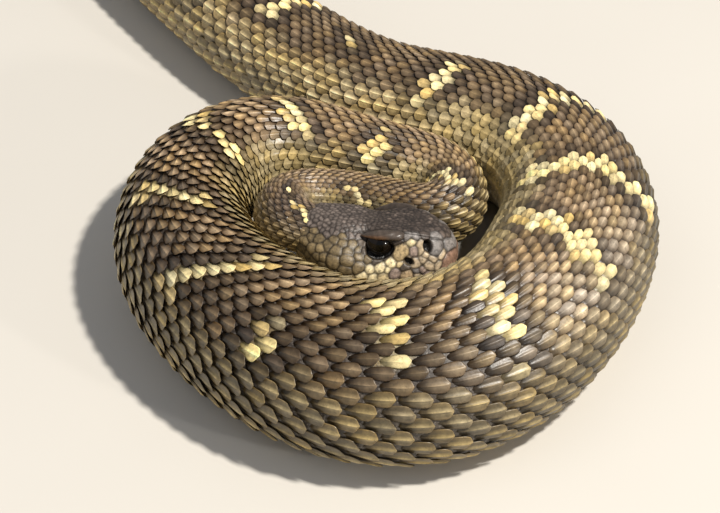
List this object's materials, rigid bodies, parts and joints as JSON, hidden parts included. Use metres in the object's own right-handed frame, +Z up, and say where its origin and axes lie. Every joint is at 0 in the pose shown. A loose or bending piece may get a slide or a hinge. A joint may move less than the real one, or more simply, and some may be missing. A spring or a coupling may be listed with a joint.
{
  "type": "northern pacific rattlesnake",
  "caption": "Life-size still figure of a coiled rattlesnake, head resting in the coil, body, tail and rattle lying on the floor.",
  "frame": {"origin": "middle of the outline, on the floor that the belly rests on", "axes": "+Z up, the head faces +X and a little towards -Y, the tail lies at +Y"},
  "size_m": [0.149, 0.2524, 0.0321],
  "materials": {
    "crown_skin": "matte, small granular scales",
    "throat_skin": "satin, smooth pale scales",
    "eye": "wet gloss",
    "body_skin": "matte keeled scales",
    "tail_skin": "matte keeled scales",
    "horn": "dry translucent horn"
  },
  "bodies": {
    "root": {"head": "crown_skin", "lower_jaw": "throat_skin", "eye_left": "eye", "eye_right": "eye", "neck": "body_skin", "fore_body_behind_head": "body_skin", "fore_body_hairpin": "body_skin", "inner_ring_back": "body_skin", "inner_ring_back_left": "body_skin", "inner_ring_left": "body_skin", "inner_ring_front_left": "body_skin", "inner_ring_front": "body_skin", "outer_loop_front": "body_skin", "outer_loop_front_right": "body_skin", "outer_loop_right": "body_skin", "outer_loop_back_right": "body_skin", "outer_loop_back": "body_skin", "hind_body_leaving_coil": "body_skin", "hind_body_left": "body_skin", "hind_body_turn": "body_skin", "hind_body_back": "body_skin", "hind_body_right": "body_skin", "hind_body_vent": "body_skin", "tail": "tail_skin", "rattle": "horn"}
  },
  "joints": []
}
